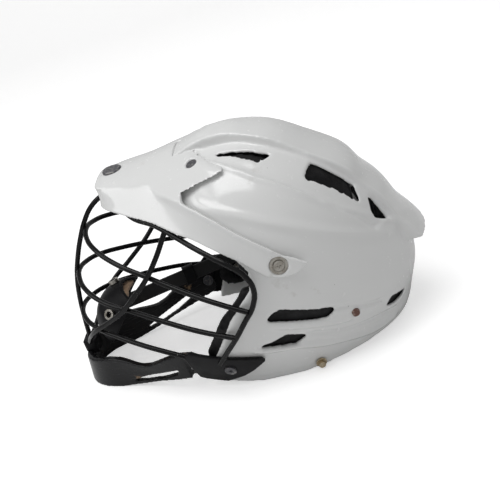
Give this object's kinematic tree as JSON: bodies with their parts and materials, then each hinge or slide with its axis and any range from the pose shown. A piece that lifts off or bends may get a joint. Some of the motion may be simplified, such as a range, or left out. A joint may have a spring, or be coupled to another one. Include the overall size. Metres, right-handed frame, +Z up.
{
  "type": "lacrosse helmet",
  "caption": "Hard-shell sports helmet with a raised crest, a visor, a wire face mask, a chin guard, a padded liner and a chin strap that swings.",
  "frame": {"origin": "centre of the bounding box's bottom, on the floor the helmet stands on", "axes": "+Z up, the helmet faces -Y, +X is the wearer's left; all but the chin strap is symmetric across X"},
  "size_m": [0.2276, 0.3628, 0.219],
  "materials": {
    "white_plastic": "polished, slightly scuffed",
    "black_plastic": "semi-gloss moulded, scuffed",
    "black_wire": "powder coated",
    "steel": "plated",
    "dark_steel": "dark coating",
    "brass": "plated",
    "red_brown_rivet": "painted",
    "black_foam": "vinyl skinned foam",
    "tan_lining": "brushed",
    "black_webbing": "woven"
  },
  "bodies": {
    "root": {"outer_shell": "white_plastic", "visor": "white_plastic", "mask_perimeter_wire": "black_wire", "mask_centre_bar": "black_wire", "mask_side_bars": "black_wire", "mask_upper_crossbar": "black_wire", "mask_middle_crossbar": "black_wire", "mask_lower_crossbar": "black_wire", "chin_guard": "black_plastic", "jaw_bracket_left": "black_plastic", "jaw_bracket_right": "black_plastic", "visor_tip_clip": "black_plastic", "chin_wire_clip": "black_plastic", "cradle_spacers": "black_plastic", "strap_posts": "black_plastic", "visor_cup_washers": "steel", "visor_wing_screws": "steel", "jaw_bracket_screws": "steel", "chin_guard_screws": "steel", "shell_nuts": "steel", "visor_plate_rivets": "dark_steel", "visor_tip_disc": "dark_steel", "strap_snap_studs": "brass", "cradle_pins": "red_brown_rivet", "temple_pad_left": "black_foam", "temple_pad_right": "black_foam", "jaw_pad_left": "black_foam", "jaw_pad_right": "black_foam", "crown_side_pad_left": "black_foam", "crown_side_pad_right": "black_foam", "brow_pad": "black_foam", "crown_front_pad": "black_foam", "crown_rear_pad": "black_foam", "rear_pad": "black_foam", "rear_side_pad_left": "black_foam", "rear_side_pad_right": "black_foam"},
    "nape_cradle": {"nape_cradle": "black_plastic", "nape_pad": "black_foam"},
    "chin_strap": {"chin_cup": "black_plastic", "chin_cup_lining": "tan_lining", "chin_strap_webbing": "black_webbing", "cup_snaps": "steel"},
    "strap_slider": {"strap_slider": "black_plastic"}
  },
  "joints": [
    {"name": "nape_cradle_tilt", "type": "hinge", "parent": "root", "child": "nape_cradle", "pos_m": [0, 0.101, 0.05], "axis": [1, 0, 0], "range_deg": [-8, 8]},
    {"name": "chin_strap_swing", "type": "hinge", "parent": "root", "child": "chin_strap", "pos_m": [0, -0.004, 0.04993], "axis": [-1, 0, 0], "range_deg": [0, 12]},
    {"name": "strap_slider_travel", "type": "slide", "parent": "chin_strap", "child": "strap_slider", "axis": [-0.337, 0.9415, 0], "range_m": [-0.01, 0.01]}
  ]
}
